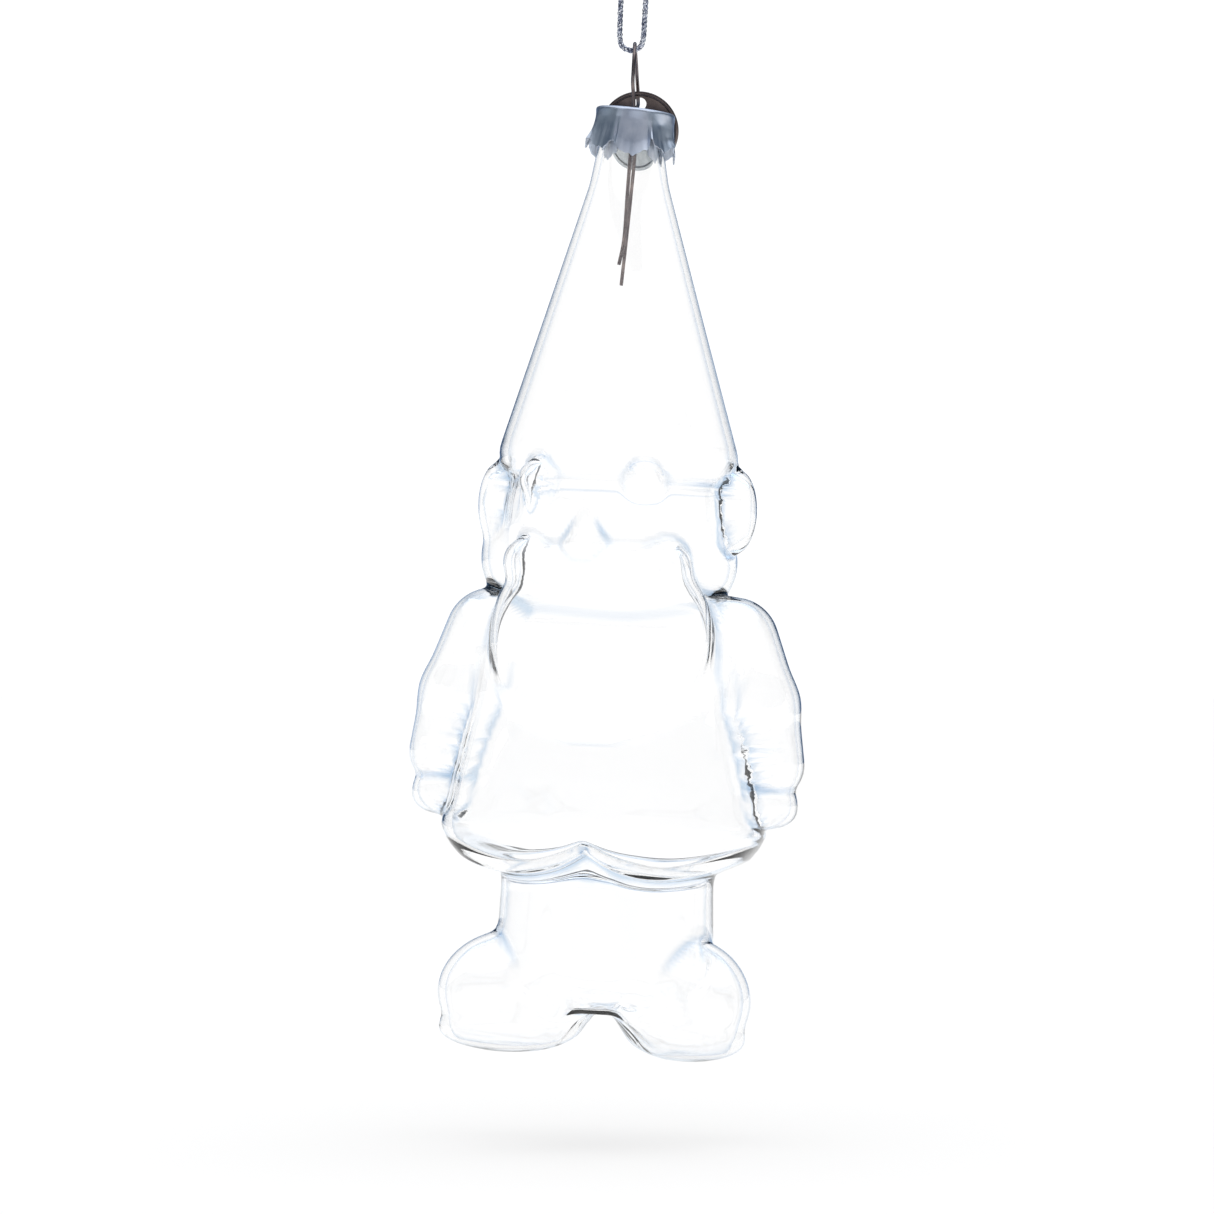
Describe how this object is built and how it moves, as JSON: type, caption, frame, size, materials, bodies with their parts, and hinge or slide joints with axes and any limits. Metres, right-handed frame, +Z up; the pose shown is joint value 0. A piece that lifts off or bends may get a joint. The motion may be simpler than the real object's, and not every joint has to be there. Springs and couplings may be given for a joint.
{
  "type": "hanging ornament",
  "caption": "Clear blown-glass garden gnome ornament with a crimped metal cap, a hairpin wire hanger, a pierced metal disc and a tinsel cord loop",
  "frame": {"origin": "top of the cord's knot, where the ornament is hung", "axes": "+Z up, the gnome faces about -Y (turned 11 degrees towards -X in its cap), the hanger wire's plane is Y-Z"},
  "size_m": [0.0591, 0.0405, 0.1718],
  "materials": {
    "clear_glass": "clear blown glass",
    "cap_metal": "satin silver lacquer",
    "wire_steel": "dark drawn wire",
    "disc_steel": "dark polished",
    "tinsel": "metallic tinsel twist"
  },
  "bodies": {
    "knot": {"cord_knot": "tinsel"},
    "cord": {"hanging_cord": "tinsel"},
    "hanger": {"hanger_wire": "wire_steel", "crown_cap": "cap_metal"},
    "glass": {"glass_gnome": "clear_glass"},
    "disc": {"tag_disc": "disc_steel"}
  },
  "joints": [
    {"name": "cord_swing", "type": "hinge", "parent": "knot", "child": "cord", "pos_m": [0, 0, -0.0022], "axis": [0, 1, 0], "range_deg": [-25, 25]},
    {"name": "ornament_swing", "type": "hinge", "parent": "cord", "child": "hanger", "pos_m": [0, 0, -0.0212], "axis": [1, 0, 0], "range_deg": [-30, 30]},
    {"name": "glass_pull_off", "type": "slide", "parent": "hanger", "child": "glass", "axis": [0, 0, -1], "range_m": [0, 0.012]},
    {"name": "disc_swing", "type": "hinge", "parent": "hanger", "child": "disc", "pos_m": [0.00115, 0.00633, -0.02865], "axis": [1, 0, 0], "range_deg": [0, 60]}
  ]
}
